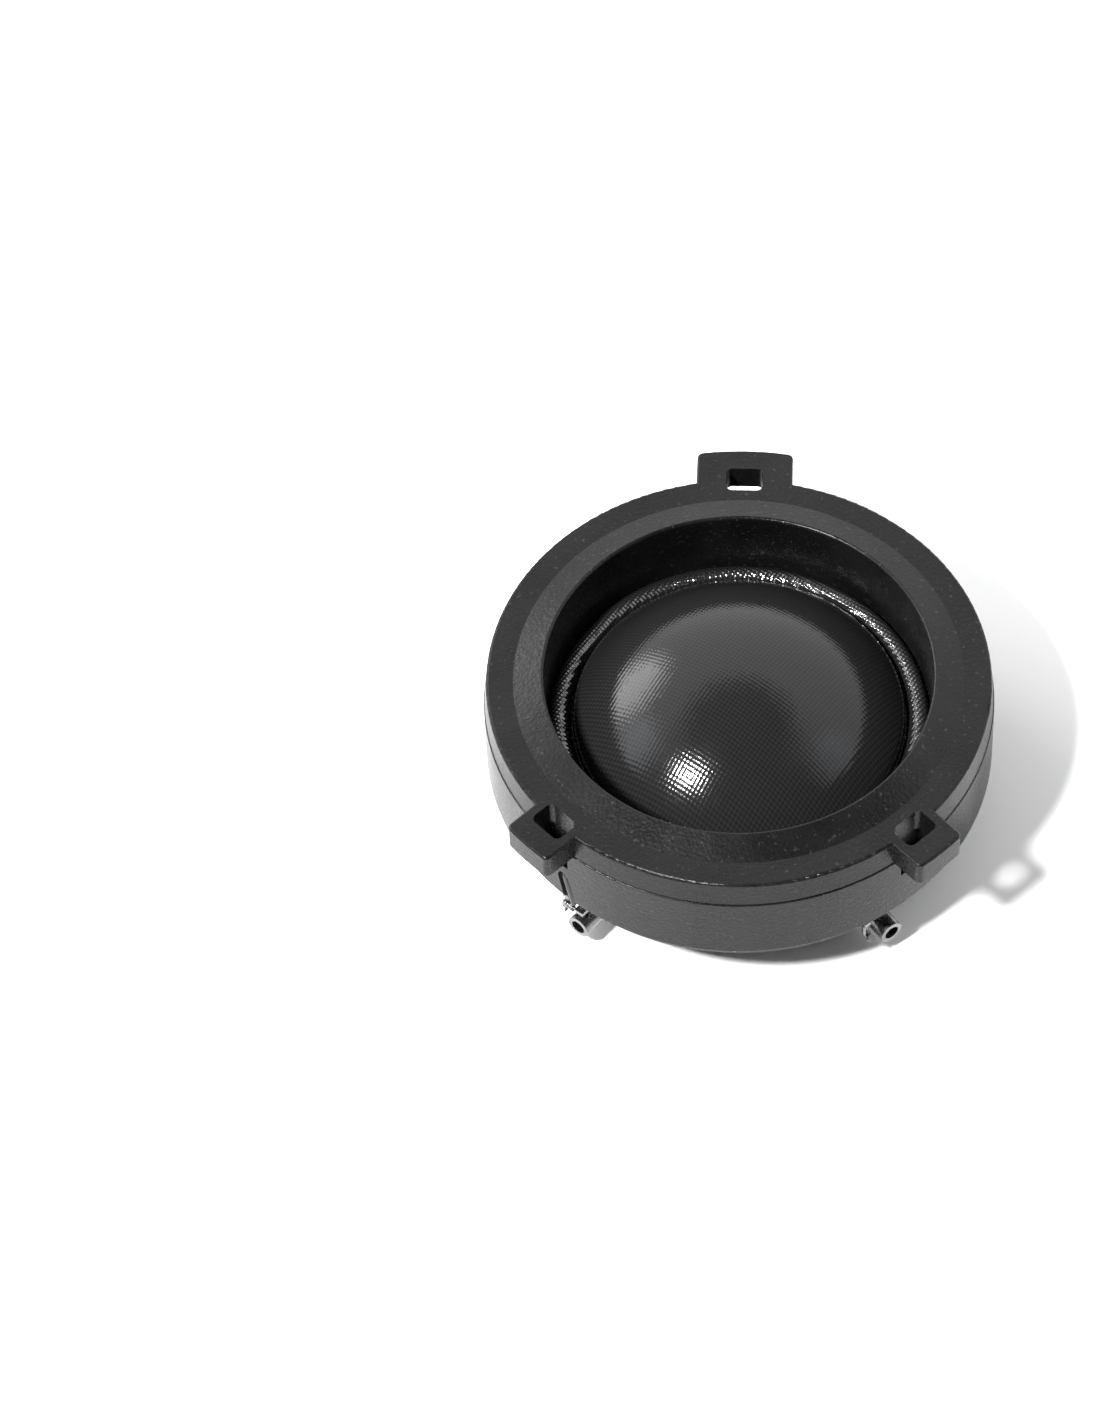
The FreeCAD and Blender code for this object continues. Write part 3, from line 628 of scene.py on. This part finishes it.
def make_floor():
    """A plain pale floor under the tweeter."""
    mesh = bpy.data.meshes.new("floor")
    half = FLOOR_WIDTH / 2
    corners = [(-half, -half, 0), (half, -half, 0), (half, half, 0), (-half, half, 0)]
    mesh.from_pydata(corners, [], [(0, 1, 2, 3)])
    floor = bpy.data.objects.new("floor", mesh)
    bpy.context.scene.collection.objects.link(floor)
    floor.location.z = CAD_BOX[0][2]
    look = Look("pale_floor", Base_Color=grey(0.86), Roughness=0.9)
    mesh.materials.append(look.finish())


def make_light(name, azimuth, elevation, width, height, radiance, colour=(1, 1, 1)):
    """A soft box that faces the dome; width and height are its spread in degrees."""
    lamp = bpy.data.lights.new(name, "AREA")
    lamp.shape = "ELLIPSE"
    lamp.size = 2 * LIGHT_DISTANCE * math.tan(math.radians(width / 2))
    lamp.size_y = 2 * LIGHT_DISTANCE * math.tan(math.radians(height / 2))
    lamp.energy = radiance * math.pi * lamp.size * lamp.size_y
    lamp.color = colour
    light = bpy.data.objects.new(name, lamp)
    bpy.context.scene.collection.objects.link(light)
    spread = math.radians(elevation)
    away = polar(math.cos(spread), azimuth, math.sin(spread))
    light.location = FACE_CENTRE + away * LIGHT_DISTANCE
    light.rotation_mode = "QUATERNION"
    light.rotation_quaternion = away.to_track_quat("Z", "Y")


def make_world():
    """Soft room light: bright low down behind and beside, dark overhead and towards the camera."""
    world = bpy.data.worlds.new("studio")
    bpy.context.scene.world = world
    world.use_nodes = True
    nodes, links = world.node_tree.nodes, world.node_tree.links
    direction = nodes.new("ShaderNodeTexCoord").outputs["Generated"]
    split = nodes.new("ShaderNodeSeparateXYZ")
    links.new(direction, split.inputs[0])

    def faded(axis, edge, low, high):
        """A smooth step along one axis of the direction, from low before the edge to high after it."""
        step = nodes.new("ShaderNodeMapRange")
        step.interpolation_type = "SMOOTHSTEP"
        limits = (("From Min", edge[0]), ("From Max", edge[1]), ("To Min", low), ("To Max", high))
        for socket, value in limits:
            step.inputs[socket].default_value = value
        links.new(split.outputs[axis], step.inputs["Value"])
        return step.outputs["Result"]

    product = nodes.new("ShaderNodeMath")
    product.operation = "MULTIPLY"
    links.new(faded("Z", CEILING_EDGE, 1.0, CEILING_LEFT), product.inputs[0])
    links.new(faded("Y", FRONT_EDGE, FRONT_LEFT, 1.0), product.inputs[1])
    strength = nodes.new("ShaderNodeMath")
    strength.operation = "MULTIPLY"
    links.new(product.outputs[0], strength.inputs[0])
    strength.inputs[1].default_value = WORLD_STRENGTH
    nodes["Background"].inputs["Color"].default_value = grey(1)
    links.new(strength.outputs[0], nodes["Background"].inputs["Strength"])


def make_lights():
    """The key light at the front left, a bright box behind at the left, and dim cards at the sides."""
    make_light("key", 222, 53.6, 8, 8, 420)
    make_light("left_box", 143, 27, 30, 24, 6.5)
    make_light("left_card", 177, 37, 26, 22, 2.4, (0.85, 0.9, 1.0))
    make_light("right_card", -6, 36, 26, 30, 1.1, (0.85, 0.9, 1.0))


def make_camera():
    """A long lens at the viewing angle, turned so that the tweeter sits right of the middle."""
    camera = bpy.data.objects.new("camera", bpy.data.cameras.new("camera"))
    bpy.context.scene.collection.objects.link(camera)
    camera.data.lens = LENS_MM
    camera.data.clip_start = 0.01
    elevation, azimuth = math.radians(CAMERA_ELEVATION), math.radians(CAMERA_AZIMUTH)
    back = Vector((math.sin(azimuth) * math.cos(elevation), -math.cos(azimuth) * math.cos(elevation),
                   math.sin(elevation)))
    turns = [(CAMERA_ROLL, "Z"), (CAMERA_PAN, "Y"), (CAMERA_TILT, "X")]
    pose = back.to_track_quat("Z", "Y").to_matrix()
    for angle, axis in turns:
        pose = pose @ Matrix.Rotation(math.radians(angle), 3, axis)
    camera.matrix_world = Matrix.Translation(FACE_CENTRE + back * CAMERA_DISTANCE) @ pose.to_4x4()
    bpy.context.scene.camera = camera


MATERIALS = make_materials()
make_dome()
make_surround()
make_bond()
make_voice_coil()
make_felt()
make_tinsel_leads()
make_left_lead()
make_solder_joints()
finish_cad_nodes()
make_floor()
make_world()
make_lights()
make_camera()
bpy.context.scene.view_settings.view_transform = "Standard"
